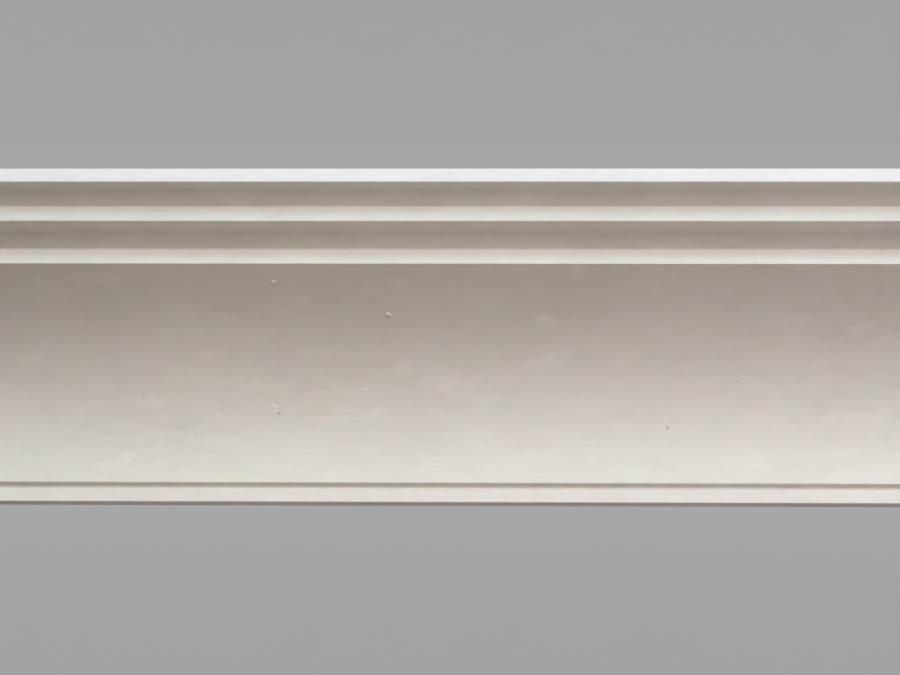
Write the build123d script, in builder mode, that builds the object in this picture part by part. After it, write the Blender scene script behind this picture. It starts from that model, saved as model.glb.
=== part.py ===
"""Cast plaster cornice, one stock length, lying on its struck back with the moulded face up.

The section is drawn as it would be fixed: "out" is the distance from the wall and "up" is the
height from the ceiling line, so every point of the face has a negative height. The section
plane is then turned so that the back lies flat on the floor. All sizes are in millimetres.
"""

import os
from math import sqrt

from build123d import *

# Length of one piece of stock
length = 1500.0

# Moulded face, from the ceiling edge down to the foot on the wall
nose_band = 15.0  # upright band at the outer edge, against the ceiling
upper_soffit = 16.0  # flat underside behind the nose band
step_band = 16.0  # upright band under each of the two soffits
lower_soffit = 18.0
cove_radius = 88.0  # quarter round hollow, level at its top and upright at its bottom
quirk = 3.2  # narrow underside where the cove ends
foot_band = 15.0  # upright band along the bottom edge
lip = 2.8  # thickness of the plaster at the foot

# Back of the piece and its edges
cove_thickness = 15.0  # plaster behind the middle of the cove
arris_radius = 0.5  # outer edges of the face
corner_radius = 1.0  # inner corners of the face
back_edge_radius = 2.0  # where the struck back meets the two beds

# Overall sizes of the section, measured along the wall and along the ceiling
cove_top = nose_band + 2 * step_band
drop = cove_top + cove_radius + foot_band
cove_out = lip + quirk
projection = cove_out + cove_radius + lower_soffit + upper_soffit

# The back is struck off at 45 degrees, so it cuts the wall and the ceiling at equal distances
cove_centre = (cove_out + cove_radius, -cove_top - cove_radius)
cove_depth = (cove_centre[0] - cove_centre[1]) / sqrt(2) - cove_radius
back_depth = cove_depth - cove_thickness
back_leg = back_depth * sqrt(2)

# Local x of the section plane points out from the wall and local y up to the ceiling
across_shift = (drop - projection) / (2 * sqrt(2))
section_plane = Plane(
    origin=(0, across_shift, -back_depth), x_dir=(0, 1, 1), z_dir=(-1, 0, 0)
)

# Corners of the face in order, from the ceiling edge to the foot
ceiling_edge = (projection, 0)
nose_arris = (projection, -nose_band)
upper_corner = (projection - upper_soffit, -nose_band)
upper_arris = (upper_corner[0], -nose_band - step_band)
lower_corner = (cove_centre[0], upper_arris[1])
cove_arris = (cove_centre[0], -cove_top)
quirk_arris = (cove_out, cove_centre[1])
quirk_corner = (lip, cove_centre[1])
foot_arris = (lip, -drop)
wall_edge = (0, -drop)
wall_back_edge = (0, -back_leg)
ceiling_back_edge = (back_leg, 0)


def vertex_at(sketch, point):
    """The corner of the sketch that lies at this point of the section."""
    return sketch.vertices().sort_by_distance((*point, 0))[0]


with BuildPart() as cornice:
    with BuildSketch(section_plane) as section:
        with BuildLine() as outline:
            Polyline(ceiling_edge, nose_arris, upper_corner, upper_arris, lower_corner, cove_arris)
            CenterArc(cove_centre, cove_radius, 90, 90)
            Polyline(quirk_arris, quirk_corner, foot_arris, wall_edge)
            Polyline(wall_edge, wall_back_edge, ceiling_back_edge, ceiling_edge)
        make_face()
        for arris in (nose_arris, upper_arris, cove_arris, quirk_arris, foot_arris):
            fillet(vertex_at(section, arris), radius=arris_radius)
        for corner in (upper_corner, lower_corner, quirk_corner):
            fillet(vertex_at(section, corner), radius=corner_radius)
        for back_edge in (wall_back_edge, ceiling_back_edge):
            fillet(vertex_at(section, back_edge), radius=back_edge_radius)
    extrude(amount=length / 2, both=True)

cornice.part.label = "cornice"
os.makedirs("parts", exist_ok=True)
export_step(cornice.part, "parts/cornice.step")

print(f"section: drop {drop:g} mm, projection {projection:g} mm, area {section.sketch.area:.0f} mm2")
print(f"beds and back: leg {back_leg:.1f} mm, depth {back_depth:.1f} mm, shift {across_shift:.3f} mm")
print(f"solid: {cornice.part.bounding_box().size}, centre of mass {cornice.part.center()}")
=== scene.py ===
"""One stock length of cast plaster cornice, lying face up on its struck back.

The whole surface is first laid out as a flat strip: x runs along the length and "around" runs
round the section, from the ceiling edge down the moulded face, over the wall bed and the back.
Cells are cut finer where the cast has a mark, and then the strip is bent onto the section.
In the section, "out" is the distance from the wall and "up" the height from the ceiling line.
All lengths are in metres.
"""

import math
import random
from bisect import bisect_right
from typing import NamedTuple

import bmesh
import bpy
from bpy.props import FloatProperty, FloatVectorProperty, IntProperty, PointerProperty
from mathutils import Matrix, Vector, noise
from mathutils.geometry import delaunay_2d_cdt


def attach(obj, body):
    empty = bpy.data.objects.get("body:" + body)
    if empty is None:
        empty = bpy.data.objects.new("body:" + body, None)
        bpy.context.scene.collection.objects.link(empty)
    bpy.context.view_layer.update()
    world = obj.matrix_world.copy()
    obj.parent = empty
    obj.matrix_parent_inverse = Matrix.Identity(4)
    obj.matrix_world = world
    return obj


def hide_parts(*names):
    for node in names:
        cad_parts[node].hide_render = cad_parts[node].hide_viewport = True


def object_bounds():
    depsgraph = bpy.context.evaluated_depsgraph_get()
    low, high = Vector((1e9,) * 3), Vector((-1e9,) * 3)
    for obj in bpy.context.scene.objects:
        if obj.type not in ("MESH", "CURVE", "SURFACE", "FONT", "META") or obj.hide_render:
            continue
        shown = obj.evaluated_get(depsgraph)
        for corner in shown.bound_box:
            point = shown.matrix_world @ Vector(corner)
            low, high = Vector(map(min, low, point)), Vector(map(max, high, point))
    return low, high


bl_info = {
    "name": "Plaster Cornice",
    "version": (1, 0, 0),
    "blender": (4, 5, 0),
    "location": "View3D > Sidebar > Cornice",
    "description": "Makes one length of cast plaster cornice, its finishes and the stage round it",
    "category": "Object",
}

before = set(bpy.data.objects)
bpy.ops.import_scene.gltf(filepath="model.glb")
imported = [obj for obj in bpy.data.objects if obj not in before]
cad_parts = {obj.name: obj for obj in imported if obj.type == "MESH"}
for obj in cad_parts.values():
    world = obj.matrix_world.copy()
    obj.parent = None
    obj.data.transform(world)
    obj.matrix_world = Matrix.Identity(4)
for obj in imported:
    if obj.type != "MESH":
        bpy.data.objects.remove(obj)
cad_low, cad_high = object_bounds()

MM = 0.001
ROOT_TWO = math.sqrt(2)
NODE = "cornice"
BODY = "root"
PHOTO_WIDTH = 900
PHOTO_HEIGHT = 675
SENSOR_WIDTH = 36

CAST_FACE, STRUCK_BACK, SAWN_END = range(3)


def number_property(name, description, default, **options):
    """A number from zero up, unless the options give another least value."""
    options = {"min": 0, **options}
    return FloatProperty(name=name, description=description, default=default, **options)


def length_property(name, description, default):
    """A length in metres, shown in the scene's units."""
    return number_property(name, description, default, unit="LENGTH", precision=5)


def angle_property(name, description, degrees):
    """An angle, given in degrees."""
    default = math.radians(degrees)
    return FloatProperty(name=name, description=description, default=default, subtype="ANGLE")


def colour_property(name, description, default):
    """A linear colour with no alpha."""
    return FloatVectorProperty(
        name=name, description=description, default=default, min=0, max=4, subtype="COLOR"
    )


class SectionSizes(bpy.types.PropertyGroup):
    """Driving sizes of the run section."""

    nose_band: length_property("Nose band", "Upright band against the ceiling", 15 * MM)
    upper_soffit: length_property("Upper soffit", "Underside behind the nose band", 16 * MM)
    step_band: length_property("Step band", "Upright band under each soffit", 16 * MM)
    lower_soffit: length_property("Lower soffit", "Second underside", 18 * MM)
    cove_radius: length_property("Cove radius", "Quarter round hollow", 88 * MM)
    quirk: length_property("Quirk", "Narrow underside where the cove ends", 3.2 * MM)
    foot_band: length_property("Foot band", "Upright band along the bottom", 15 * MM)
    lip: length_property("Lip", "Thickness of the plaster at the foot", 2.8 * MM)
    cove_thickness: length_property("Cove thickness", "Plaster behind the cove", 15 * MM)
    arris_radius: length_property("Arris radius", "Outer edges of the face", 0.5 * MM)
    corner_radius: length_property("Corner radius", "Inner corners of the face", 1.0 * MM)
    feather_radius: length_property("Feather radius", "Thin edges at both beds", 0.3 * MM)
    back_edge_radius: length_property("Back edge radius", "Edges of the struck back", 2 * MM)


class SurfaceSizes(bpy.types.PropertyGroup):
    """How finely the surface is divided, and how far the cast strays from the true section."""

    station_spacing: length_property("Station spacing", "Cells along the length", 5 * MM)
    face_spacing: length_property("Face spacing", "Cells round the moulded face", 2 * MM)
    back_spacing: length_property("Back spacing", "Cells round the beds and the back", 6 * MM)
    guard_row: length_property("Guard row", "Narrow cell beside each rounded corner", 0.3 * MM)
    swell_height: length_property("Swell", "Slow waves of the cast face", 0.10 * MM)
    ripple_height: length_property("Ripple", "Short waves of the cast face", 0.03 * MM)
    corner_fill: length_property("Corner fill", "Slurry left in the inner corners", 0.22 * MM)
    struck_roughness: length_property("Struck roughness", "Relief of the struck back", 0.5 * MM)
    rim_wear: length_property("Rim wear", "Rounding of the two sawn rims", 0.4 * MM)
    spare_marks: IntProperty(
        name="Spare marks", description="Marks outside the photographed stretch", default=44
    )
    spare_smears: IntProperty(
        name="Spare smears", description="Smears outside the photographed stretch", default=60
    )


class FinishSettings(bpy.types.PropertyGroup):
    """Colours of the plaster and strengths of its fine relief."""

    plaster: colour_property("Plaster", "Clean cast plaster", (0.82, 0.79, 0.75))
    smear: colour_property("Smear", "Paler wiped patches", (0.885, 0.862, 0.836))
    # Also the colour of the painted shade in the inner corners of the cast face
    shade: colour_property("Shade", "Darker clouds and smears", (0.74, 0.705, 0.655))
    # Whiter plaster of the nibs, and in part a painted highlight that brightens them
    pale_nib_and_highlight: colour_property("Fleck", "Whiter plaster of the nibs", (0.95, 0.94, 0.925))
    dirt: colour_property("Dirt", "Rust brown grit in the pits", (0.16, 0.10, 0.06))
    chalk: colour_property("Chalk", "Dry plaster of the back and ends", (0.80, 0.78, 0.745))
    face_roughness: number_property("Face roughness", "Sheen of the cast face", 0.86, max=1)


class StageSettings(bpy.types.PropertyGroup):
    """Camera, floor and lights."""

    view_elevation: angle_property("View elevation", "Camera over the floor, foot side", 75)
    view_turn: angle_property("View turn", "Camera round to the right of square on", 3.8)
    view_roll: angle_property("View roll", "Tilt of the camera about its own axis", 0.08)
    lens: number_property("Lens", "Focal length", 300, min=1, unit="CAMERA")
    shown_width: length_property("Shown width", "Length of cornice across the photo", 0.4959)
    aim_up: length_property("Aim", "Photo centre across the view, from the wall line", 0.01705)
    aim_depth: length_property("Aim depth", "Photo centre towards the camera", 0.090)
    floor_light: number_property("Floor light", "Strength of the light on the floor", 5.05)
    shadow_depth: number_property(
        "Shadow depth", "Share of the floor light that the cornice blocks", 0.6, max=1
    )
    air_light: number_property("Air light", "Even light from all round", 0.05)
    floor_size: length_property("Floor size", "Side of the square floor", 60)
    floor_colour: colour_property("Floor", "Plain studio floor", (0.22, 0.22, 0.2235))


# The section

CORNER_STEPS = 4
BOX_TOLERANCE = 0.6 * MM


class Row(NamedTuple):
    """One line along the length: where it is on the section and which way it faces."""

    around: float
    point: Vector
    facing: Vector
    finish: int
    struck: float


def left_of(direction):
    """The direction turned a quarter to the left, which is outwards on this section."""
    return Vector((-direction.y, direction.x))


def turned(direction, angle):
    """The direction turned to the left by an angle."""
    return Matrix.Rotation(angle, 2) @ direction


def box_of(points):
    """Low and high corner of the box round flat points."""
    corners = (Vector((pick(p.x for p in points), pick(p.y for p in points))) for pick in (min, max))
    return tuple(corners)


class Section:
    """The closed run section as rows, with its sizes and its place on the floor."""

    def __init__(self, sizes, surface):
        self.cove_top = sizes.nose_band + 2 * sizes.step_band
        self.drop = self.cove_top + sizes.cove_radius + sizes.foot_band
        self.cove_out = sizes.lip + sizes.quirk
        self.cove_radius = sizes.cove_radius
        self.cove_centre = Vector(
            (self.cove_out + sizes.cove_radius, -self.cove_top - sizes.cove_radius)
        )
        self.projection = self.cove_centre.x + sizes.lower_soffit + sizes.upper_soffit
        cove_depth = (self.cove_centre.x - self.cove_centre.y) / ROOT_TWO - sizes.cove_radius
        self.back_depth = cove_depth - sizes.cove_thickness
        self.shift = (self.drop - self.projection) / (2 * ROOT_TWO)
        self.rows = []
        self.inner_corners = []
        self.thin_edges = []
        self.face_end = 0.0
        self.make_rows(sizes, surface)
        self.arounds = [row.around for row in self.rows]
        self.check_against_frame()

    def corners(self, sizes):
        """Corner, rounding radius and finish of the run that leaves it, in order round the section."""
        arris, inner = sizes.arris_radius, sizes.corner_radius
        feather, back = sizes.feather_radius, sizes.back_edge_radius
        upper_out = self.projection - sizes.upper_soffit
        upper_drop = -sizes.nose_band - sizes.step_band
        back_leg = self.back_depth * ROOT_TWO
        run = (
            (self.projection, 0, feather, CAST_FACE),
            (self.projection, -sizes.nose_band, arris, CAST_FACE),
            (upper_out, -sizes.nose_band, inner, CAST_FACE),
            (upper_out, upper_drop, arris, CAST_FACE),
            (self.cove_centre.x, upper_drop, inner, CAST_FACE),
            (self.cove_centre.x, -self.cove_top, arris, CAST_FACE),
            (self.cove_out, self.cove_centre.y, arris, CAST_FACE),
            (sizes.lip, self.cove_centre.y, inner, CAST_FACE),
            (sizes.lip, -self.drop, arris, CAST_FACE),
            (0, -self.drop, feather, STRUCK_BACK),
            (0, -back_leg, back, STRUCK_BACK),
            (back_leg, 0, back, STRUCK_BACK),
        )
        return [(Vector((out, up)), radius, finish) for out, up, radius, finish in run]

    def is_cove(self, start):
        """True for the corner at which the cove starts."""
        return abs(start.x - self.cove_centre.x) < MM and abs(start.y + self.cove_top) < MM

    def directions(self, start, end):
        """Directions in which the run from start leaves, and in which it arrives at its end."""
        if self.is_cove(start):
            return Vector((-1, 0)), Vector((0, -1))
        along = (end - start).normalized()
        return along, along

    def add_row(self, point, facing, finish, struck):
        """Adds a row, a little further round than the last one."""
        around = 0.0
        if self.rows:
            around = self.rows[-1].around + (point - self.rows[-1].point).length
        self.rows.append(Row(around, point, facing, finish, struck))

    def make_rows(self, sizes, surface):
        """Rows of every rounded corner and of the run that follows it."""
        corners = self.corners(sizes)
        for index, (point, radius, finish) in enumerate(corners):
            before_finish = corners[index - 1][2]
            next_index = (index + 1) % len(corners)
            after, after_radius, _ = corners[next_index]
            arriving, leaving, turn = self.bend(corners, index)
            reaching, _, next_turn = self.bend(corners, next_index)
            side = math.copysign(1, turn)
            facing = left_of(arriving)
            centre = point - arriving * radius * math.tan(abs(turn) / 2) + facing * side * radius
            struck = float(finish == STRUCK_BACK and before_finish == STRUCK_BACK)
            for step in range(CORNER_STEPS + 1):
                way = turned(facing, turn * step / CORNER_STEPS)
                run_finish = finish if step == CORNER_STEPS else before_finish
                self.add_row(centre - way * side * radius, way, run_finish, struck)
            middle = self.rows[-1 - CORNER_STEPS // 2].around
            if side > 0:
                self.inner_corners.append(middle)
            if finish != before_finish:
                self.thin_edges.append(middle)
            if finish != before_finish and finish == STRUCK_BACK:
                self.face_end = self.rows[-1].around
            end = after - reaching * after_radius * math.tan(abs(next_turn) / 2)
            self.add_run(point, end, leaving, finish, surface)
        first = self.rows[0]
        self.add_row(first.point, first.facing, first.finish, first.struck)
        self.thin_edges.append(self.thin_edges[0] + self.rows[-1].around)

    def bend(self, corners, index):
        """Directions before and after a corner, and the angle between them."""
        point, after = corners[index][0], corners[(index + 1) % len(corners)][0]
        arriving = self.directions(corners[index - 1][0], point)[1]
        leaving = self.directions(point, after)[0]
        return arriving, leaving, math.atan2(arriving.cross(leaving), arriving.dot(leaving))

    def add_run(self, corner, end, leaving, finish, surface):
        """Rows along a run, with a narrow guard row at each end, from the last row to the end."""
        start = self.rows[-1].point
        spacing = surface.face_spacing if finish == CAST_FACE else surface.back_spacing
        run = (end - start).length
        cove = self.is_cove(corner)
        if cove:
            first = math.atan2(*(start - self.cove_centre).yx)
            last = math.atan2(*(end - self.cove_centre).yx)
            run = self.cove_radius * (last - first)
        guard = min(surface.guard_row, run / 4)
        steps = max(1, round((run - 2 * guard) / spacing))
        places = [guard + (run - 2 * guard) * step / steps for step in range(steps + 1)]
        for place in places:
            if cove:
                angle = first + place / self.cove_radius
                way = Vector((math.cos(angle), math.sin(angle)))
                self.add_row(self.cove_centre + way * self.cove_radius, -way, finish, 0.0)
            else:
                struck = float(finish == STRUCK_BACK)
                self.add_row(start + leaving * place, left_of(leaving), finish, struck)

    def at(self, around):
        """Point, facing and struck share at a place round the section."""
        index = min(max(bisect_right(self.arounds, around), 1), len(self.rows) - 1)
        low, high = self.rows[index - 1], self.rows[index]
        share = (around - low.around) / max(high.around - low.around, 1e-9)
        facing = low.facing.lerp(high.facing, share).normalized()
        struck = low.struck + (high.struck - low.struck) * share
        return low.point.lerp(high.point, share), facing, struck

    def lying(self, point):
        """Across and height on the floor of a point of the section."""
        across = (point.x + point.y) / ROOT_TWO + self.shift
        return across, (point.x - point.y) / ROOT_TWO - self.back_depth

    def check_against_frame(self):
        """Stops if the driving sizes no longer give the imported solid's box."""
        low, high = box_of([Vector(self.lying(row.point)) for row in self.rows])
        gaps = (*(low - cad_low.yz), *(high - cad_high.yz))
        if max(map(abs, gaps)) > BOX_TOLERANCE:
            raise RuntimeError(f"the section's box differs from the frame's by {gaps}")


# The photograph's view

SEARCH_ROUNDS = 4
HALVINGS = 40


class PhotoView:
    """The camera's place, and the way from a pixel of the photograph to the moulded face."""

    def __init__(self, section, stage):
        self.section = section
        turn, roll = stage.view_turn, stage.view_roll
        square_on = Vector((0, -math.cos(stage.view_elevation), math.sin(stage.view_elevation)))
        upright = square_on.cross(Vector((1, 0, 0)))
        self.toward = Matrix.Rotation(turn, 3, upright) @ square_on
        self.up = Matrix.Rotation(roll, 3, self.toward) @ upright
        self.right = self.up.cross(self.toward)
        self.focal = PHOTO_WIDTH * stage.lens / SENSOR_WIDTH
        distance = stage.shown_width * stage.lens / SENSOR_WIDTH
        wall_line = Vector((0, *section.lying(Vector((0, 0)))))
        target = wall_line + self.up * stage.aim_up + self.toward * stage.aim_depth
        self.eye = target + self.toward * distance
        self.shown_end = self.place(PHOTO_WIDTH, PHOTO_HEIGHT / 2)[0]

    def axes(self):
        """The camera's own axes as a rotation."""
        return Matrix((self.right, self.up, self.toward)).transposed()

    def pixel(self, x, around):
        """Column and row of the photograph at which a place on the surface shows."""
        point, _, _ = self.section.at(around)
        ray = Vector((x, *self.section.lying(point))) - self.eye
        depth = -ray.dot(self.toward)
        column = PHOTO_WIDTH / 2 + self.focal * ray.dot(self.right) / depth
        return column, PHOTO_HEIGHT / 2 - self.focal * ray.dot(self.up) / depth

    def place(self, column, row):
        """Place on the moulded face, x and around, that shows at a pixel."""
        x, around = 0.0, 0.0
        for _ in range(SEARCH_ROUNDS):
            low, high = 0.0, self.section.face_end
            for _ in range(HALVINGS):
                around = (low + high) / 2
                if self.pixel(x, around)[1] < row:
                    low = around
                else:
                    high = around
            shown = self.pixel(x, around)[0]
            x += (column - shown) / (self.pixel(x + MM, around)[0] - shown) * MM
        return x, around


# Marks and smears on the cast

NIB_SAG = 0.25
SMEAR = "smear"
# Least gaps from a spare mark to an inner corner, to an end of the piece and to the photographed
# stretch, and from a spare smear to that stretch
CORNER_MARGIN = 3 * MM
END_MARGIN = 20 * MM
MARK_MARGIN = 8 * MM
SMEAR_MARGIN = 20 * MM
# Where the cove starts and ends, measured round the section from its start and its end
COVE_START = 80 * MM
COVE_END = 20 * MM
MARK_SEED, SMEAR_SEED = 41, 17


class Mark(NamedTuple):
    """A fault or smear of the cast, by its kind, place, size, height or tone, tilt and dirt."""

    kind: str
    x: float
    around: float
    length: float
    width: float
    height: float
    tilt: float = 0.0
    dirt: float = 0.0

    def share(self, x, around):
        """1 at the top of the mark, falling to 0 at its edge; a nib's top sags towards the foot."""
        along, across = x - self.x, around - self.around
        if abs(along) > self.length or abs(across) > self.length:
            return 0.0
        cosine, sine = math.cos(self.tilt), math.sin(self.tilt)
        a = (along * cosine + across * sine) * 2 / self.length
        b = (across * cosine - along * sine) * 2 / self.width
        if self.kind == "nib":
            b -= NIB_SAG
            b /= 1 - math.copysign(NIB_SAG, b)
        return max(0.0, 1 - a * a - b * b)


class PhotoMark(NamedTuple):
    """A mark at a pixel of the photograph, with its length, width and height in millimetres."""

    kind: str
    column: float
    row: float
    size: tuple
    tilt: float = 0.0
    dirt: float = 0.0


PHOTO_MARKS = (
    PhotoMark("nib", column=388.4, row=314.6, size=(4.0, 1.7, 0.75), tilt=18),
    PhotoMark("nib", column=273.6, row=281.5, size=(2.9, 1.8, 0.8), tilt=20),
    PhotoMark("nib", column=364.5, row=389.6, size=(3.8, 1.6, 0.38), tilt=6),
    PhotoMark("nib", column=410.3, row=401.2, size=(2.6, 1.5, 0.36), tilt=6),
    PhotoMark("nib", column=467.3, row=313, size=(2.5, 1.6, 0.32)),
    PhotoMark("nib", column=488.5, row=237.7, size=(2.0, 1.8, 0.8)),
    PhotoMark("nib", column=395.5, row=189.6, size=(1.8, 1.8, 0.3)),
    PhotoMark("nib", column=38.6, row=279.4, size=(2.2, 1.7, 0.38), tilt=25),
    PhotoMark("nib", column=274, row=406.3, size=(4.0, 1.5, 0.25), tilt=33),
    PhotoMark("dent", column=275.6, row=403.6, size=(3.2, 1.7, 0.3), tilt=25),
    PhotoMark("pit", column=278.3, row=413.8, size=(1.6, 1.7, 0.7), dirt=0.35),
    PhotoMark("pit", column=667.2, row=427.6, size=(1.5, 1.6, 0.6), dirt=0.6),
    PhotoMark("pit", column=220.5, row=409.8, size=(1.1, 1.7, 0.45), dirt=0.25),
    PhotoMark("pit", column=142.8, row=398, size=(1.2, 1.1, 0.4), dirt=0.2),
    PhotoMark("pit", column=750, row=438.3, size=(1.0, 2.0, 0.35), dirt=0.1),
    PhotoMark("pit", column=881, row=251, size=(1.8, 1.4, 0.45), dirt=0.4),
    PhotoMark("scratch", column=735, row=382.3, size=(4.8, 1.3, 0.3), dirt=0.12),
    PhotoMark("scratch", column=551, row=409.2, size=(6.0, 1.4, 0.14), tilt=4, dirt=0.08),
    PhotoMark("scratch", column=401, row=382.3, size=(8.5, 1.0, 0.16), tilt=-4),
)

# Like marks for the rest of the length: kind, share of all, and ranges of length, width and height
SPARE_KINDS = (
    ("nib", 0.5, (1.8, 4.0), (1.5, 2.4), (0.3, 0.9)),
    ("pit", 0.3, (1.1, 1.8), (1.1, 1.8), (0.35, 0.7)),
    ("dent", 0.1, (2.5, 4.5), (2.0, 3.0), (0.15, 0.4)),
    ("scratch", 0.1, (4.0, 9.0), (1.0, 1.4), (0.12, 0.3)),
)


class PhotoSmear(NamedTuple):
    """A soft patch, its length and width in pixels too; its tone is 1 when pale, -1 when dark."""

    column: float
    row: float
    size: tuple
    tone: float
    tilt: float = 0.0


PHOTO_SMEARS = (
    PhotoSmear(column=546, row=361, size=(54, 30), tone=1.0, tilt=-30),
    PhotoSmear(column=443, row=384, size=(50, 18), tone=0.9, tilt=-2),
    PhotoSmear(column=404, row=367, size=(26, 20), tone=0.6, tilt=-20),
    PhotoSmear(column=386, row=284, size=(64, 16), tone=0.5, tilt=-4),
    PhotoSmear(column=98, row=278, size=(84, 12), tone=0.8, tilt=4),
    PhotoSmear(column=200, row=316, size=(96, 16), tone=0.7, tilt=3),
    PhotoSmear(column=155, row=400, size=(48, 18), tone=0.7),
    PhotoSmear(column=126, row=457, size=(18, 12), tone=0.7),
    PhotoSmear(column=345, row=416, size=(110, 14), tone=0.3, tilt=-8),
    PhotoSmear(column=380, row=412, size=(24, 14), tone=0.5),
    PhotoSmear(column=478, row=434, size=(40, 30), tone=0.4, tilt=-30),
    PhotoSmear(column=652, row=328, size=(30, 14), tone=0.9),
    PhotoSmear(column=688, row=322, size=(22, 12), tone=0.6),
    PhotoSmear(column=792, row=319, size=(76, 14), tone=0.9, tilt=-6),
    PhotoSmear(column=862, row=328, size=(34, 14), tone=0.7, tilt=-8),
    PhotoSmear(column=548, row=321, size=(34, 12), tone=1.1, tilt=8),
    PhotoSmear(column=576, row=272, size=(28, 12), tone=0.5),
    PhotoSmear(column=698, row=305, size=(20, 14), tone=0.6),
    PhotoSmear(column=750, row=308, size=(24, 12), tone=0.5),
    PhotoSmear(column=728, row=346, size=(50, 12), tone=0.4, tilt=-6),
    PhotoSmear(column=301, row=301, size=(20, 14), tone=0.6),
    PhotoSmear(column=214, row=354, size=(46, 10), tone=0.7, tilt=-8),
    PhotoSmear(column=20, row=315, size=(34, 14), tone=0.6),
    PhotoSmear(column=30, row=360, size=(36, 12), tone=0.6),
    PhotoSmear(column=270, row=386, size=(70, 12), tone=0.5),
    PhotoSmear(column=850, row=418, size=(90, 16), tone=0.25),
    PhotoSmear(column=172, row=426, size=(48, 9), tone=-1.1, tilt=4),
    PhotoSmear(column=128, row=413, size=(60, 16), tone=-0.6, tilt=-10),
    PhotoSmear(column=508, row=324, size=(80, 14), tone=-0.4, tilt=4),
    PhotoSmear(column=466, row=314, size=(70, 20), tone=-0.4),
    PhotoSmear(column=560, row=392, size=(110, 10), tone=-0.3),
    PhotoSmear(column=735, row=406, size=(60, 12), tone=-0.4),
    PhotoSmear(column=886, row=433, size=(18, 12), tone=-0.5),
    PhotoSmear(column=38, row=452, size=(16, 12), tone=-0.7),
)

# Painted shade in the two inner corners of the bands, and painted light in the quirk's corner
PAINTED_CORNER_SHADING = (-0.9, -0.3, 0.5)


def photographed_marks(view):
    """The marks of the photograph, on the face that they show on."""
    marks = []
    for seen in PHOTO_MARKS:
        x, around = view.place(seen.column, seen.row)
        sizes = [size * MM for size in seen.size]
        marks.append(Mark(seen.kind, x, around, *sizes, math.radians(seen.tilt), seen.dirt))
    return marks


def photographed_smears(view):
    """The smears of the photograph, on the face that they show on."""
    smears = []
    for seen in PHOTO_SMEARS:
        half_length, half_width = seen.size[0] / 2, seen.size[1] / 2
        left = view.place(seen.column - half_length, seen.row)[0]
        right = view.place(seen.column + half_length, seen.row)[0]
        top = view.place(seen.column, seen.row - half_width)[1]
        x, bottom = view.place(seen.column, seen.row + half_width)
        sizes = (right - left, bottom - top, seen.tone)
        smears.append(Mark(SMEAR, x, (top + bottom) / 2, *sizes, math.radians(seen.tilt)))
    return smears


def spare_smears(view, section, count):
    """Seeded smears on the stretches that the photograph leaves out."""
    draw = random.Random(SMEAR_SEED)
    smears = []
    for _ in range(count):
        x = draw.choice((-1, 1)) * draw.uniform(view.shown_end + SMEAR_MARGIN, cad_high.x)
        around = draw.uniform(COVE_START, section.face_end - COVE_END)
        sizes = (draw.uniform(14, 44) * MM, draw.uniform(7, 14) * MM, draw.uniform(-0.9, 1.1))
        smears.append(Mark(SMEAR, x, around, *sizes, math.radians(draw.uniform(-15, 10))))
    return smears


def spare_marks(view, section, count):
    """Seeded marks of the same kinds on the stretches that the photograph leaves out."""
    draw = random.Random(MARK_SEED)
    nearest, farthest = view.shown_end + MARK_MARGIN, cad_high.x - END_MARGIN
    marks = []
    while len(marks) < count:
        x = draw.choice((-1, 1)) * draw.uniform(nearest, farthest)
        around = draw.uniform(4 * MM, section.face_end - 6 * MM)
        pick = draw.random()
        for kind, share, lengths, widths, heights in SPARE_KINDS:
            if pick < share:
                break
            pick -= share
        sizes = [draw.uniform(*span) * MM for span in (lengths, widths, heights)]
        tilt = math.radians(draw.uniform(-25, 25)) * (kind != "scratch")
        dirt = draw.uniform(0, 0.6) * (kind == "pit")
        if min(abs(around - corner) for corner in section.inner_corners) > CORNER_MARGIN:
            marks.append(Mark(kind, x, around, *sizes, tilt, dirt))
    return marks


# The cast surface

END_CELLS = (0.0, 0.4 * MM, 1.2 * MM, 2.6 * MM)
STRETCH = 20 * MM
SAME_LINE = 1e-6
SAME_PLACE = 1e-7
# How far past a mark the cells are cut: along the length at first and at last, and across it
FIRST_CUT = 3.5 * MM
LAST_CUT = 1 * MM
CROSS_CUT = 1.5 * MM
MARK_REACH = 5 * MM
# How far in the surface may go at a thin edge, and how much more for each step away from it
EDGE_DEPTH = 0.04 * MM
EDGE_SLOPE = 0.35
# How far the slurry and the painted corner shading spread, and at how many spreads they end
SLURRY_SPREAD = 1.1 * MM
CORNER_SHADING_SPREAD = 3.5 * MM
SPREADS = 3
# How far the wear and the chips of a sawn rim reach in from the end
WEAR_REACH = 1.2 * MM
CHIP_REACH = 3 * MM


class Wave(NamedTuple):
    """Noise over the surface: its spacing along the length and round the section, and its seed."""

    along: float
    around: float
    seed: float

    def at(self, x, around):
        """From -1 to 1 at a place."""
        return noise.noise((x / self.along, around / self.around, self.seed))


# A spacing of 1 is for noise that takes the number of a corner or an end there, times its step
CORNER_STEP, CORNER_SHADING_STEP, END_STEP = 7.0, 5.0, 5.0
SWELL = Wave(160 * MM, 55 * MM, 3.0)
RIPPLE = Wave(50 * MM, 7 * MM, 11.0)
SLURRY = Wave(11 * MM, 1.0, 23.0)
SLURRY_BEADS = Wave(4 * MM, 1.0, 29.0)
LATH_DRAG = Wave(250 * MM, 9 * MM, 41.0)
LUMPS = Wave(20 * MM, 20 * MM, 43.0)
RIM_CRUMBLE = Wave(1.0, 4 * MM, 51.0)
RIM_CHIPS = Wave(1.0, 9 * MM, 57.0)
# Unevenness of the painted corner shading along the length
CORNER_SHADING_WAVER = Wave(30 * MM, 1.0, 31.0)


def stations(surface):
    """Places along the length: narrow cells at both ends and even ones between."""
    half = cad_high.x - END_CELLS[-1]
    count = round(2 * half / surface.station_spacing)
    middle = [-half + 2 * half * step / count for step in range(1, count)]
    ends = [cad_high.x - inset for inset in END_CELLS]
    return [-x for x in ends] + middle + ends[::-1]


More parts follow.
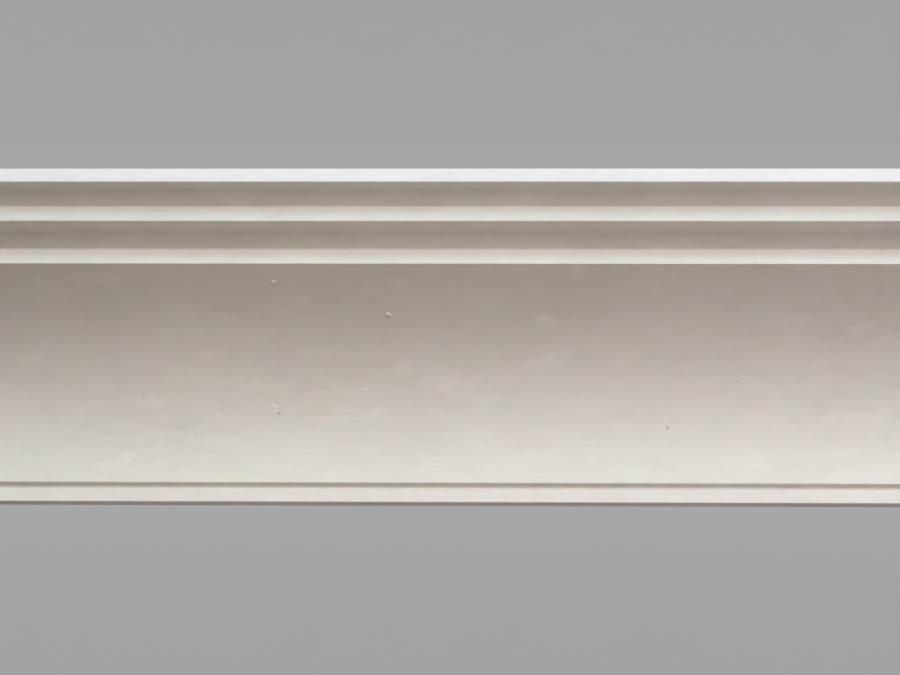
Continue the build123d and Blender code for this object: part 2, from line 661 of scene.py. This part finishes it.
def flat_strip(section, surface):
    """The flat grid of cells, x along the length and y round the section."""
    mesh = bmesh.new()
    columns = [
        [mesh.verts.new((x, row.around, 0)) for row in section.rows] for x in stations(surface)
    ]
    for left, right in zip(columns, columns[1:]):
        for index, row in enumerate(section.rows[:-1]):
            corners = (left[index], left[index + 1], right[index + 1], right[index])
            mesh.faces.new(corners).material_index = row.finish
    return mesh


def marks_by_stretch(marks):
    """The marks that reach into each short stretch of the length."""
    found = {}
    for mark in marks:
        reach = mark.length + MARK_REACH
        first, last = round((mark.x - reach) / STRETCH), round((mark.x + reach) / STRETCH)
        for stretch in range(first, last + 1):
            found.setdefault(stretch, []).append(mark)
    return found


def cut_cells(mesh, marks, cuts, along_only):
    """Cuts the edges of the cells that a mark covers or nearly covers."""
    near_marks = marks_by_stretch(marks)
    margin = FIRST_CUT if along_only else LAST_CUT
    edges = set()
    for face in mesh.faces:
        centre = face.calc_center_median()
        for mark in near_marks.get(round(centre.x / STRETCH), ()):
            far_along = abs(centre.x - mark.x) > mark.length / 2 + margin
            far_across = abs(centre.y - mark.around) > mark.width / 2 + CROSS_CUT
            if far_along or far_across:
                continue
            for edge in face.edges:
                lengthwise = abs(edge.verts[0].co.x - edge.verts[1].co.x) > SAME_LINE
                if lengthwise or not along_only:
                    edges.add(edge)
    ordered = sorted(edges, key=lambda edge: edge.index)
    bmesh.ops.subdivide_edges(mesh, edges=ordered, cuts=cuts, use_grid_fill=True)
    mesh.edges.index_update()


def cast_relief(section, surface, x, around, struck):
    """How far the bare cast stands from the true section, never outside it on an arris."""
    height = surface.swell_height * (SWELL.at(x, around) - 1)
    height += surface.ripple_height * (RIPPLE.at(x, around) - 1)
    for number, corner in enumerate(section.inner_corners):
        away = (around - corner) / SLURRY_SPREAD
        if abs(away) < SPREADS:
            own = CORNER_STEP * number
            slurry = 0.5 + SLURRY.at(x, own) + 0.6 * SLURRY_BEADS.at(x, own)
            height += surface.corner_fill * slurry * math.exp(-away * away)
    if struck:
        rough = 0.3 * (LATH_DRAG.at(x, around) - 1) + 0.2 * (LUMPS.at(x, around) - 1)
        height += struck * surface.struck_roughness * rough
    return height


def rim_relief(surface, x, around):
    """Wear of the two sawn rims, with small chips."""
    inset = cad_high.x - abs(x)
    if inset > CHIP_REACH:
        return 0.0
    side = math.copysign(END_STEP, x)
    crumble = 0.5 + 0.5 * RIM_CRUMBLE.at(side, around)
    chips = max(0.0, RIM_CHIPS.at(side, around) - 0.35) * 2.4
    fade = max(0.0, 1 - inset / WEAR_REACH) ** 2
    chip_fade = max(0.0, 1 - inset / CHIP_REACH)
    return -surface.rim_wear * (crumble * fade + chips * chip_fade)


def surface_tone_with_corner_shading(section, smears, x, around):
    """How pale or dark the face is wiped, with painted corner shading: over 0 pale, under 0 dark."""
    tone = sum(smear.height * smear.share(x, around) for smear in smears)
    # Painted shade in the two inner corners of the bands, painted light in the quirk's corner
    for number, corner in enumerate(section.inner_corners):
        away = (around - corner) / CORNER_SHADING_SPREAD
        if abs(away) < SPREADS:
            uneven = 0.5 + 0.5 * CORNER_SHADING_WAVER.at(x, CORNER_SHADING_STEP * number)
            tone += PAINTED_CORNER_SHADING[number] * uneven * math.exp(-away * away)
    return tone


def lowest_relief(section, around):
    """How far in the surface may go, less beside a thin edge so that its two sides never cross."""
    away = min(abs(around - edge) for edge in section.thin_edges)
    return -EDGE_DEPTH - EDGE_SLOPE * away


def bend_onto_section(mesh, section, surface, marks, smears):
    """Moves each vertex of the strip onto the cast, noting dirt, tone, and painted light and shade."""
    layer_names = ("pit_dirt", "nib_pale_and_highlight", "wiped_tone_with_corner_shading")
    dirt, pale_nib_and_highlight, tone = [mesh.verts.layers.float.new(name) for name in layer_names]
    near_marks, near_smears = marks_by_stretch(marks), marks_by_stretch(smears)
    whole = section.rows[-1].around
    for vert in mesh.verts:
        x, around = vert.co.x, vert.co.y
        stretch = round(x / STRETCH)
        point, facing, struck = section.at(around)
        seam_around = 0.0 if around > whole - SAME_PLACE else around
        height = cast_relief(section, surface, x, seam_around, struck)
        height += rim_relief(surface, x, seam_around)
        for mark in near_marks.get(stretch, ()):
            share = mark.share(x, around)
            if share > 0:
                if mark.kind == "nib":
                    height += mark.height * share**1.3
                    # Whitens the nib: paler plaster, and in part a painted highlight
                    vert[pale_nib_and_highlight] = min(1.0, share * 2.5)
                elif mark.kind == "pit":
                    height -= mark.height * math.sqrt(share)
                else:
                    height -= mark.height * share
                vert[dirt] = max(vert[dirt], mark.dirt * min(1.0, share * 1.6))
        height = max(height, lowest_relief(section, seam_around))
        vert[tone] = surface_tone_with_corner_shading(section, near_smears.get(stretch, ()), x, around)
        vert.co = (x, *section.lying(point + facing * height))


# The sawn ends

END_SEEDS = {-1: 5, 1: 9}
END_PITS = 26
PIT_LEAST = 0.4 * MM
PIT_SPREAD = 1.6 * MM
PIT_SIDES = 10
END_SPACING = 4 * MM
CUT_WAVER = 0.12 * MM
SAWN_ARRIS = math.radians(25)
# How the points of an end are joined: only within its outline, and in mm when they are one
INSIDE_ONLY = 1
SAME_POINT = 1e-5
# Rings of a cut bubble, from its rim down: share of its radius and of its depth
PIT_RINGS = ((1.0, 0.0), (0.86, 0.55), (0.5, 0.9))


def end_pits(draw, outline):
    """Cut air bubbles on a sawn end: place, radius and depth, clear of the rim and each other."""
    pits = []
    low, high = box_of(outline)
    while len(pits) < END_PITS:
        spot = Vector((draw.uniform(low.x, high.x), draw.uniform(low.y, high.y)))
        radius = PIT_LEAST + draw.random() ** 3 * PIT_SPREAD
        if is_clear(spot, outline, pits, rim_gap=radius + 1.2 * MM, pit_gap=radius + MM):
            pits.append((spot, radius, radius * draw.uniform(0.6, 1.1)))
    return pits


def is_clear(spot, outline, pits, rim_gap, pit_gap):
    """True if the spot is on the end, and far enough from its rim and from every bubble."""
    rim = min((spot - point).length for point in outline)
    apart = all((spot - other).length > size + pit_gap for other, size, _ in pits)
    return rim > rim_gap and apart and inside(spot, outline)


def inside(spot, outline):
    """True if the spot lies within the closed outline."""
    within = False
    for index, end in enumerate(outline):
        start = outline[index - 1]
        if (start.y > spot.y) != (end.y > spot.y):
            crossing = start.x + (end.x - start.x) * (spot.y - start.y) / (end.y - start.y)
            within ^= spot.x < crossing
    return within


def pit_points(spot, radius, depth):
    """Points of a cut bubble with their depths: its rings and its deepest point."""
    points = []
    for share, deep in PIT_RINGS:
        for step in range(PIT_SIDES):
            angle = math.tau * (step + share) / PIT_SIDES
            way = Vector((math.cos(angle), math.sin(angle)))
            points.append((spot + way * radius * share, depth * deep))
    return [*points, (spot, depth)]


def cut_points(draw, outline, pits, side):
    """Points spread over a sawn end, with the faint unevenness of the cut as their depths."""
    low, high = box_of(outline)
    waver = Wave(30 * MM, 30 * MM, side)
    points = []
    for across in range(int((high.x - low.x) / END_SPACING)):
        for rise in range(int((high.y - low.y) / END_SPACING)):
            even = ((across + 0.5) * END_SPACING, (rise + 0.5) * END_SPACING)
            spot = Vector((low.x + even[0], low.y + even[1]))
            spot += Vector((draw.uniform(-1, 1), draw.uniform(-1, 1))) * END_SPACING / 4
            if is_clear(spot, outline, pits, rim_gap=1.6 * MM, pit_gap=0.8 * MM):
                points.append((spot, CUT_WAVER * (1 + waver.at(*spot))))
    return points


def close_end(mesh, rim, side, seed):
    """Fills one sawn end, with cut bubbles and the faint unevenness of the cut."""
    draw = random.Random(seed)
    outline = [Vector((vert.co.y, vert.co.z)) for vert in rim]
    pits = end_pits(draw, outline)
    points = [(spot, 0.0) for spot in outline]
    for pit in pits:
        points += pit_points(*pit)
    points += cut_points(draw, outline, pits, side)
    in_mm = [spot / MM for spot, _ in points]
    loop = list(range(len(rim)))
    _, _, faces, originals, _, _ = delaunay_2d_cdt(in_mm, [], [loop], INSIDE_ONLY, SAME_POINT)
    verts = []
    for first, *_ in originals:
        if first < len(rim):
            verts.append(rim[first])
        else:
            spot, depth = points[first]
            verts.append(mesh.verts.new((side * (cad_high.x - depth), *spot)))
    for corners in faces:
        loop_verts = [verts[corner] for corner in corners]
        if len(set(loop_verts)) == len(loop_verts):
            mesh.faces.new(loop_verts).material_index = SAWN_END
    unused = [vert for vert in verts if not vert.link_faces]
    bmesh.ops.delete(mesh, geom=unused, context="VERTS")


def rim_loop(mesh, side):
    """The vertices round one open end, in order."""
    on_rim = {vert for vert in mesh.verts if abs(vert.co.x - side * cad_high.x) < SAME_PLACE}
    start = min(on_rim, key=lambda vert: vert.index)
    rim, last = [start], None
    while True:
        steps = [
            edge.other_vert(rim[-1])
            for edge in rim[-1].link_edges
            if edge.is_boundary and edge.other_vert(rim[-1]) in on_rim
        ]
        following = next(vert for vert in steps if vert is not last)
        if following is start:
            return rim
        last = rim[-1]
        rim.append(following)


def close_seam_and_ends(mesh):
    """Joins the two edges of the strip at the ceiling edge and fills both ends."""
    bmesh.ops.remove_doubles(mesh, verts=mesh.verts, dist=SAME_PLACE)
    for side, seed in END_SEEDS.items():
        close_end(mesh, rim_loop(mesh, side), side, seed)
    bmesh.ops.recalc_face_normals(mesh, faces=mesh.faces)
    for edge in mesh.edges:
        if any(face.material_index == SAWN_END for face in edge.link_faces):
            edge.smooth = edge.calc_face_angle(0) < SAWN_ARRIS


# Finishes

# The colour sockets of a Mix node, which share their names with those of other kinds
MIX_SHARE, MIX_FIRST, MIX_SECOND, MIX_RESULT = 0, 6, 7, 2
DULL_SPECULAR = 0.3
TINT_SHARE = 0.07


def new_group(name, values):
    """A shader node group with a coordinate and named values to set, and its input sockets."""
    tree = bpy.data.node_groups.new(name, "ShaderNodeTree")
    tree.interface.new_socket(name="Coordinate", in_out="INPUT", socket_type="NodeSocketVector")
    for label, default in values.items():
        socket = tree.interface.new_socket(name=label, in_out="INPUT", socket_type="NodeSocketFloat")
        socket.default_value = default
    return tree, tree.nodes.new("NodeGroupInput").outputs


def give_out(tree, values):
    """Makes a named output of the group for each value."""
    for label in values:
        tree.interface.new_socket(name=label, in_out="OUTPUT", socket_type="NodeSocketFloat")
    result = tree.nodes.new("NodeGroupOutput")
    for label, value in values.items():
        tree.links.new(value, result.inputs[label])
    return tree


def put(tree, kind, inputs=None, **settings):
    """Adds a node, sets its options and fills its sockets with values or links."""
    node = tree.nodes.new(kind)
    for name, value in settings.items():
        setattr(node, name, value)
    for name, value in (inputs or {}).items():
        socket = node.inputs[name]
        if isinstance(value, bpy.types.NodeSocket):
            tree.links.new(value, socket)
        else:
            socket.default_value = value
    return node


def scaled(tree, coordinate, factors):
    """The coordinate stretched by a factor on each axis."""
    inputs = {0: coordinate, 1: factors}
    return put(tree, "ShaderNodeVectorMath", inputs, operation="MULTIPLY").outputs["Vector"]


def noise_value(tree, coordinate, scale, detail=3.0, roughness=0.5):
    """Plain noise from 0 to 1."""
    inputs = {"Vector": coordinate, "Scale": scale, "Detail": detail, "Roughness": roughness}
    return put(tree, "ShaderNodeTexNoise", inputs).outputs["Fac"]


def mapped(tree, value, low, high, to_low=0.0, to_high=1.0):
    """A value moved from one range to another, smoothly and within its ends."""
    inputs = {"Value": value, "From Min": low, "From Max": high}
    inputs.update({"To Min": to_low, "To Max": to_high})
    node = put(tree, "ShaderNodeMapRange", inputs, interpolation_type="SMOOTHSTEP")
    return node.outputs["Result"]


def calculated(tree, operation, first, second):
    """A sum, product or other step of arithmetic."""
    return put(tree, "ShaderNodeMath", {0: first, 1: second}, operation=operation).outputs[0]


def opaque(colour):
    """A plain colour with full alpha; a colour that another node gives stays as it is."""
    return colour if isinstance(colour, bpy.types.NodeSocket) else (*colour, 1.0)


def mixed(tree, share, first, second):
    """Two colours mixed by a share."""
    inputs = {MIX_SHARE: share, MIX_FIRST: opaque(first), MIX_SECOND: opaque(second)}
    return put(tree, "ShaderNodeMix", inputs, data_type="RGBA").outputs[MIX_RESULT]


def painted(tree, name):
    """A value that the mesh holds at its points."""
    return put(tree, "ShaderNodeAttribute", attribute_name=name).outputs["Fac"]


def wiped_clouds_group():
    """Cloudy patches and lengthwise wipe streaks, as a damp cloth leaves them on a cast."""
    values = {"Cloud Size": 0.03, "Streak Width": 0.002, "Streak Squeeze": 0.025}
    tree, given = new_group("Wiped Clouds", values)
    where = given["Coordinate"]
    cloud_scale = calculated(tree, "DIVIDE", 1.0, given["Cloud Size"])
    clouds = noise_value(tree, scaled(tree, where, (0.6, 1.0, 1.0)), cloud_scale, 4.0, 0.55)
    patch_scale = calculated(tree, "MULTIPLY", cloud_scale, 1.7)
    patches = noise_value(tree, scaled(tree, where, (0.55, 1.25, 1.25)), patch_scale, 5.0, 0.62)
    smears = mapped(tree, patches, 0.54, 0.70)
    mottle_scale = calculated(tree, "MULTIPLY", cloud_scale, 8.0)
    mottle = noise_value(tree, scaled(tree, where, (0.5, 1.0, 1.0)), mottle_scale, 3.0, 0.6)
    streak_scale = calculated(tree, "DIVIDE", 1.0, given["Streak Width"])
    factors = {"X": given["Streak Squeeze"], "Y": 1.0, "Z": 1.0}
    squeeze = put(tree, "ShaderNodeCombineXYZ", factors).outputs[0]
    streaks = noise_value(tree, scaled(tree, where, squeeze), streak_scale, 3.0, 0.6)
    return give_out(
        tree, {"Clouds": clouds, "Smears": smears, "Mottle": mottle, "Streaks": streaks}
    )


def chalk_grain_group():
    """Fine grain of set plaster, and the pinholes of small air bubbles."""
    values = {"Grain Size": 0.0008, "Pinhole Spacing": 0.012, "Pinhole Share": 0.1}
    tree, given = new_group("Chalk Grain", values)
    where = given["Coordinate"]
    grain_scale = calculated(tree, "DIVIDE", 1.0, given["Grain Size"])
    grain = noise_value(tree, where, grain_scale, 2.0, 0.6)
    cell_scale = calculated(tree, "DIVIDE", 1.0, given["Pinhole Spacing"])
    cells = put(tree, "ShaderNodeTexVoronoi", {"Vector": where, "Scale": cell_scale})
    picked = put(tree, "ShaderNodeSeparateColor", {"Color": cells.outputs["Color"]})
    size = mapped(tree, picked.outputs[1], 0.0, 1.0, 0.02, 0.055)
    hollow = mapped(tree, cells.outputs["Distance"], 0.0, size, 1.0, 0.0)
    chosen = calculated(tree, "LESS_THAN", picked.outputs[0], given["Pinhole Share"])
    pinholes = calculated(tree, "MULTIPLY", hollow, chosen)
    return give_out(tree, {"Grain": grain, "Pinholes": pinholes})


def new_finish(name):
    """A new material's tree, its Principled BSDF and the object coordinate."""
    finish = bpy.data.materials.new(name)
    finish.use_nodes = True
    tree = finish.node_tree
    shader = tree.nodes["Principled BSDF"]
    shader.inputs["Specular IOR Level"].default_value = DULL_SPECULAR
    where = tree.nodes.new("ShaderNodeTexCoord").outputs["Object"]
    return finish, tree, shader, where


def clouds_and_grain(tree, where, groups, cloud_values, grain_values):
    """The outputs of both shared groups, each placed at the coordinate with its own values."""
    nodes = []
    for group, values in zip(groups, (cloud_values, grain_values)):
        inputs = {"Coordinate": where, **values}
        nodes.append(put(tree, "ShaderNodeGroup", inputs, node_tree=group).outputs)
    return nodes


def complete(tree, shader, colour, roughness, relief):
    """Links colour and roughness, and the relief as bumps: each a height and its real size."""
    tree.links.new(colour, shader.inputs["Base Color"])
    tree.links.new(roughness, shader.inputs["Roughness"])
    inputs = {"Strength": 1.0}
    for height, size in relief:
        inputs.update({"Height": height, "Distance": size})
        inputs["Normal"] = put(tree, "ShaderNodeBump", inputs).outputs["Normal"]
    tree.links.new(inputs["Normal"], shader.inputs["Normal"])


def cast_face_finish(settings, groups):
    """Smooth cast face: clouds, smears, streaks, pinholes, dirty pits and painted light and shade."""
    finish, tree, shader, where = new_finish("Cast Plaster Face")
    cloud_values = {"Cloud Size": 0.035, "Streak Width": 0.0022, "Streak Squeeze": 0.14}
    grain_values = {"Grain Size": 0.0011, "Pinhole Spacing": 0.016, "Pinhole Share": 0.06}
    clouds, grain = clouds_and_grain(tree, where, groups, cloud_values, grain_values)
    broken = mapped(tree, clouds["Mottle"], 0.3, 0.7, 0.2, 1.6)
    # The tone holds the wiped smears and the painted shade and light of the inner corners
    tone = calculated(tree, "MULTIPLY", painted(tree, "wiped_tone_with_corner_shading"), broken)
    dark_share = calculated(tree, "MULTIPLY", tone, -0.8)
    cloud_share = mapped(tree, clouds["Clouds"], 0.35, 0.65, 0.45, 0.0)
    shade_share = calculated(tree, "ADD", dark_share, cloud_share)
    colour = mixed(tree, shade_share, settings.plaster, settings.shade)
    pale_shares = (
        calculated(tree, "MULTIPLY", tone, 0.8),
        calculated(tree, "MULTIPLY", clouds["Smears"], 0.3),
        mapped(tree, clouds["Mottle"], 0.3, 0.7, 0.0, 0.35),
        mapped(tree, clouds["Streaks"], 0.3, 0.7, 0.0, 0.22),
    )
    for share in pale_shares:
        colour = mixed(tree, share, colour, settings.smear)
    inputs = {"Vector": scaled(tree, where, (0.5, 1.0, 1.0)), "Scale": 90.0, "Detail": 3.0}
    tints = put(tree, "ShaderNodeTexNoise", inputs).outputs["Color"]
    colour = mixed(tree, TINT_SHARE, colour, tints)
    # Whiter nibs: paler plaster, and in part a painted highlight
    colour = mixed(tree, painted(tree, "nib_pale_and_highlight"), colour, settings.pale_nib_and_highlight)
    pinhole_dirt = calculated(tree, "MULTIPLY", grain["Pinholes"], 0.35)
    dirt_share = calculated(tree, "MAXIMUM", painted(tree, "pit_dirt"), pinhole_dirt)
    colour = mixed(tree, dirt_share, colour, settings.dirt)
    roughest, smoothest = settings.face_roughness + 0.05, settings.face_roughness - 0.06
    roughness = mapped(tree, clouds["Streaks"], 0.3, 0.7, roughest, smoothest)
    relief = (
        (clouds["Streaks"], 0.03 * MM),
        (clouds["Mottle"], 0.05 * MM),
        (grain["Grain"], 0.03 * MM),
        hollows(tree, grain, 0.35 * MM),
    )
    complete(tree, shader, colour, roughness, relief)
    return finish


def hollows(tree, grain, depth):
    """The relief of the pinholes."""
    return calculated(tree, "MULTIPLY", grain["Pinholes"], -1.0), depth


def dry_colour(tree, settings, clouds):
    """Dry plaster, clouded between shade and chalk."""
    cloud_share = mapped(tree, clouds["Clouds"], 0.3, 0.7)
    return mixed(tree, cloud_share, settings.shade, settings.chalk)


def complete_dry(tree, shader, settings, colour, grain, hole_dirt, relief):
    """Completes dry, open plaster, with dirt in its pinholes."""
    hole_share = calculated(tree, "MULTIPLY", grain["Pinholes"], hole_dirt)
    colour = mixed(tree, hole_share, colour, settings.dirt)
    roughness = mapped(tree, grain["Grain"], 0.3, 0.7, 0.9, 1.0)
    complete(tree, shader, colour, roughness, relief)


def struck_back_finish(settings, groups):
    """Back and beds struck off with a lath: drag lines, open grain and torn pinholes."""
    finish, tree, shader, where = new_finish("Struck Plaster Back")
    cloud_values = {"Cloud Size": 0.05, "Streak Width": 0.004}
    grain_values = {"Grain Size": 0.0016, "Pinhole Spacing": 0.009, "Pinhole Share": 0.3}
    clouds, grain = clouds_and_grain(tree, where, groups, cloud_values, grain_values)
    colour = dry_colour(tree, settings, clouds)
    streak_share = mapped(tree, clouds["Streaks"], 0.35, 0.65, 0.0, 0.6)
    colour = mixed(tree, streak_share, colour, settings.plaster)
    lath_lines = (clouds["Streaks"], 0.5 * MM)
    relief = (lath_lines, (grain["Grain"], 0.12 * MM), hollows(tree, grain, 0.8 * MM))
    complete_dry(tree, shader, settings, colour, grain, 0.5, relief)
    return finish


def sawn_end_finish(settings, groups):
    """Dry sawn end: shallow saw lines down the section, open grain and small cut bubbles."""
    finish, tree, shader, where = new_finish("Sawn Plaster End")
    cloud_values = {"Cloud Size": 0.02, "Streak Width": 0.003}
    grain_values = {"Grain Size": 0.0007, "Pinhole Spacing": 0.006, "Pinhole Share": 0.35}
    clouds, grain = clouds_and_grain(tree, where, groups, cloud_values, grain_values)
    colour = dry_colour(tree, settings, clouds)
    kerf = noise_value(tree, scaled(tree, where, (1.0, 1.0, 0.04)), 700.0, 3.0, 0.55)
    relief = ((kerf, 0.12 * MM), (grain["Grain"], 0.08 * MM), hollows(tree, grain, 0.5 * MM))
    complete_dry(tree, shader, settings, colour, grain, 0.45, relief)
    return finish


# The stage


class SoftLight(NamedTuple):
    """A long soft light: elevation from the nose side, distance, width, ends, power and colour."""

    name: str
    elevation: float
    distance: float
    width: float
    ends: tuple
    power: float
    colour: tuple


SOFT_LIGHTS = (
    SoftLight("key", 44, 1.8, 0.25, (-1.1, 2.9), 28.3, (1.0, 0.955, 0.935)),
    SoftLight("nose_sweep", 20, 1.8, 0.75, (-0.9, 3.1), 20, (0.75, 0.92, 0.995)),
    SoftLight("nose_edge", -4, 0.25, 0.03, (-2.0, 2.0), 1.9, (0.70, 0.71, 1.0)),
    SoftLight("near_fill", 100, 0.3, 0.04, (0.05, 1.25), 0.468, (1.0, 0.84, 0.74)),
    SoftLight("warm_fill", 100, 0.3, 0.04, (-0.29, 0.05), 0.133, (1.0, 0.84, 0.57)),
    SoftLight("left_fill", 100, 0.3, 0.04, (-1.3, -0.76), 0.19, (1.0, 0.84, 0.69)),
    SoftLight("foot_low", 172, 1.8, 0.25, (-1.3, 2.7), 6.2, (1.0, 0.86, 0.82)),
)

# Each end's own light: its side and its power
END_LIGHTS = {"left_end": (-1, 0.37), "right_end": (1, 0.16)}
END_LIGHT_SIZE = (0.3, 0.12)
END_LIGHT_DISTANCE = 0.35
END_LIGHT_RISE = 0.25
FLOOR_LIGHT_SPREAD = math.radians(2.5)
FLOOR_DIM = 0.985
FLOOR_MOTTLE_SCALE = 40.0
FLOOR_ROUGHNESS = 0.95


def light_collection(name, obj):
    """A collection that only says which object some lights fall on."""
    collection = bpy.data.collections.new(name)
    collection.objects.link(obj)
    return collection


def add_object(name, data, place):
    """Puts an object into the scene, placed by a matrix."""
    obj = bpy.data.objects.new(name, data)
    bpy.context.scene.collection.objects.link(obj)
    obj.matrix_world = place
    return obj


def add_area_light(name, size, power, colour, place, across, toward, lit):
    """A soft oblong light that looks back along a direction, and that no camera sees."""
    lamp = bpy.data.lights.new(name, "AREA")
    lamp.shape = "RECTANGLE"
    lamp.size, lamp.size_y = size
    lamp.energy = power
    lamp.color = colour
    axes = Matrix((across, toward.cross(across), toward)).transposed()
    obj = add_object(name, lamp, Matrix.Translation(place) @ axes.to_4x4())
    obj.visible_camera = False
    obj.light_linking.receiver_collection = lit


def add_soft_light(light, lit):
    """A long area light, level with the length and facing the cornice."""
    left, right = light.ends
    angle = math.radians(light.elevation)
    toward = Vector((0, math.cos(angle), math.sin(angle)))
    place = (cad_low + cad_high) / 2 + toward * light.distance + Vector(((left + right) / 2, 0, 0))
    size = (right - left, light.width)
    length_way = Vector((1, 0, 0))
    add_area_light(light.name, size, light.power, light.colour, place, length_way, toward, lit)


def add_end_light(name, side, power, lit):
    """A small soft light that faces one end, which the long lights hardly reach."""
    toward = Vector((side, 0, END_LIGHT_RISE)).normalized()
    place = Vector((side * cad_high.x, 0, cad_high.z / 2)) + toward * END_LIGHT_DISTANCE
    across = Vector((0, -side, 0))
    add_area_light(name, END_LIGHT_SIZE, power, (1, 1, 1), place, across, toward, lit)


def add_floor_light(name, view, strength, lit):
    """A light for the floor alone, along the camera's line, so that its shadow stays hidden."""
    wash = bpy.data.lights.new(name, "SUN")
    wash.energy = strength
    wash.angle = FLOOR_LIGHT_SPREAD
    lamp = add_object(name, wash, view.axes().to_4x4())
    lamp.light_linking.receiver_collection = lit
    return lamp


def add_air_light(stage):
    """A faint even light from all round."""
    air = bpy.data.worlds.new("studio_air")
    air.use_nodes = True
    inputs = air.node_tree.nodes["Background"].inputs
    inputs["Color"].default_value = (1, 1, 1, 1)
    inputs["Strength"].default_value = stage.air_light
    bpy.context.scene.world = air


def add_floor(stage):
    """A plain grey floor, very slightly mottled."""
    half = stage.floor_size / 2
    mesh = bpy.data.meshes.new("studio_floor")
    corners = [(-half, -half, 0), (half, -half, 0), (half, half, 0), (-half, half, 0)]
    mesh.from_pydata(corners, [], [(0, 1, 2, 3)])
    floor = add_object("studio_floor", mesh, Matrix())
    finish, tree, shader, where = new_finish("Studio Floor")
    mottle = noise_value(tree, where, FLOOR_MOTTLE_SCALE)
    dim = [FLOOR_DIM * value for value in stage.floor_colour]
    colour = mixed(tree, mottle, dim, stage.floor_colour)
    tree.links.new(colour, shader.inputs["Base Color"])
    shader.inputs["Roughness"].default_value = FLOOR_ROUGHNESS
    mesh.materials.append(finish)
    return floor


def add_camera(view, stage):
    """The photograph's camera."""
    lens = bpy.data.cameras.new("photo_camera")
    lens.lens = stage.lens
    lens.sensor_width = SENSOR_WIDTH
    lens.clip_start, lens.clip_end = 0.05, 200
    place = Matrix.Translation(view.eye) @ view.axes().to_4x4()
    bpy.context.scene.camera = add_object("photo_camera", lens, place)


# Operators, panel and registration


class CORNICE_OT_cast_length(bpy.types.Operator):
    """Makes the length of cornice in place of its plain solid"""

    bl_idname = "cornice.cast_length"
    bl_label = "Cast the length"

    def execute(self, context):
        scene = context.scene
        surface = scene.cornice_surface
        section = Section(scene.cornice_section, surface)
        view = PhotoView(section, scene.cornice_stage)
        marks = photographed_marks(view) + spare_marks(view, section, surface.spare_marks)
        smears = photographed_smears(view) + spare_smears(view, section, surface.spare_smears)
        cast = flat_strip(section, surface)
        cut_cells(cast, smears, cuts=1, along_only=True)
        cut_cells(cast, marks, cuts=2, along_only=True)
        cut_cells(cast, marks, cuts=3, along_only=False)
        bend_onto_section(cast, section, surface, marks, smears)
        close_seam_and_ends(cast)
        for face in cast.faces:
            face.smooth = True
        mesh = bpy.data.meshes.new("cast_cornice")
        cast.to_mesh(mesh)
        cast.free()
        piece = bpy.data.objects.new("cast_cornice", mesh)
        scene.collection.objects.link(piece)
        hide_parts(NODE)
        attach(piece, BODY)
        return {"FINISHED"}


class CORNICE_OT_finish_plaster(bpy.types.Operator):
    """Gives the face, the struck back and the sawn ends their finishes"""

    bl_idname = "cornice.finish_plaster"
    bl_label = "Finish the plaster"

    def execute(self, context):
        piece = bpy.data.objects["cast_cornice"]
        settings = context.scene.cornice_finish
        groups = (wiped_clouds_group(), chalk_grain_group())
        for make in (cast_face_finish, struck_back_finish, sawn_end_finish):
            piece.data.materials.append(make(settings, groups))
        return {"FINISHED"}


class CORNICE_OT_set_stage(bpy.types.Operator):
    """Adds the floor, the soft lights and the photograph's camera"""

    bl_idname = "cornice.set_stage"
    bl_label = "Set the stage"

    def execute(self, context):
        scene = context.scene
        stage = scene.cornice_stage
        view = PhotoView(Section(scene.cornice_section, scene.cornice_surface), stage)
        scene.view_settings.view_transform = "Standard"
        piece = bpy.data.objects["cast_cornice"]
        floor = add_floor(stage)
        lit_cornice = light_collection("lit_cornice", piece)
        for light in SOFT_LIGHTS:
            add_soft_light(light, lit_cornice)
        for name, (side, power) in END_LIGHTS.items():
            add_end_light(name, side, power, lit_cornice)
        lit_floor = light_collection("lit_floor", floor)
        shadowed = stage.floor_light * stage.shadow_depth
        add_floor_light("floor_wash", view, shadowed, lit_floor)
        fill = add_floor_light("floor_fill", view, stage.floor_light - shadowed, lit_floor)
        fill.light_linking.blocker_collection = lit_floor
        add_air_light(stage)
        add_camera(view, stage)
        return {"FINISHED"}


class CORNICE_PT_panel(bpy.types.Panel):
    """Lists the steps in order"""

    bl_idname = "CORNICE_PT_panel"
    bl_label = "Plaster Cornice"
    bl_space_type = "VIEW_3D"
    bl_region_type = "UI"
    bl_category = "Cornice"

    def draw(self, context):
        for operator in OPERATORS:
            self.layout.operator(operator.bl_idname)
        for group in ("cornice_section", "cornice_surface", "cornice_finish", "cornice_stage"):
            settings = getattr(context.scene, group)
            box = self.layout.box()
            for name in settings.__annotations__:
                box.prop(settings, name)


OPERATORS = (CORNICE_OT_cast_length, CORNICE_OT_finish_plaster, CORNICE_OT_set_stage)
SETTINGS = {
    "cornice_section": SectionSizes,
    "cornice_surface": SurfaceSizes,
    "cornice_finish": FinishSettings,
    "cornice_stage": StageSettings,
}
CLASSES = (*SETTINGS.values(), *OPERATORS, CORNICE_PT_panel)


def register():
    """Registers the classes and the scene's settings."""
    for cls in CLASSES:
        bpy.utils.register_class(cls)
    for name, group in SETTINGS.items():
        setattr(bpy.types.Scene, name, PointerProperty(type=group))


def unregister():
    """Takes the classes and the scene's settings away again."""
    for name in SETTINGS:
        delattr(bpy.types.Scene, name)
    for cls in reversed(CLASSES):
        bpy.utils.unregister_class(cls)


def main():
    """Makes everything."""
    register()
    bpy.ops.cornice.cast_length()
    bpy.ops.cornice.finish_plaster()
    bpy.ops.cornice.set_stage()


if __name__ == "__main__":
    main()
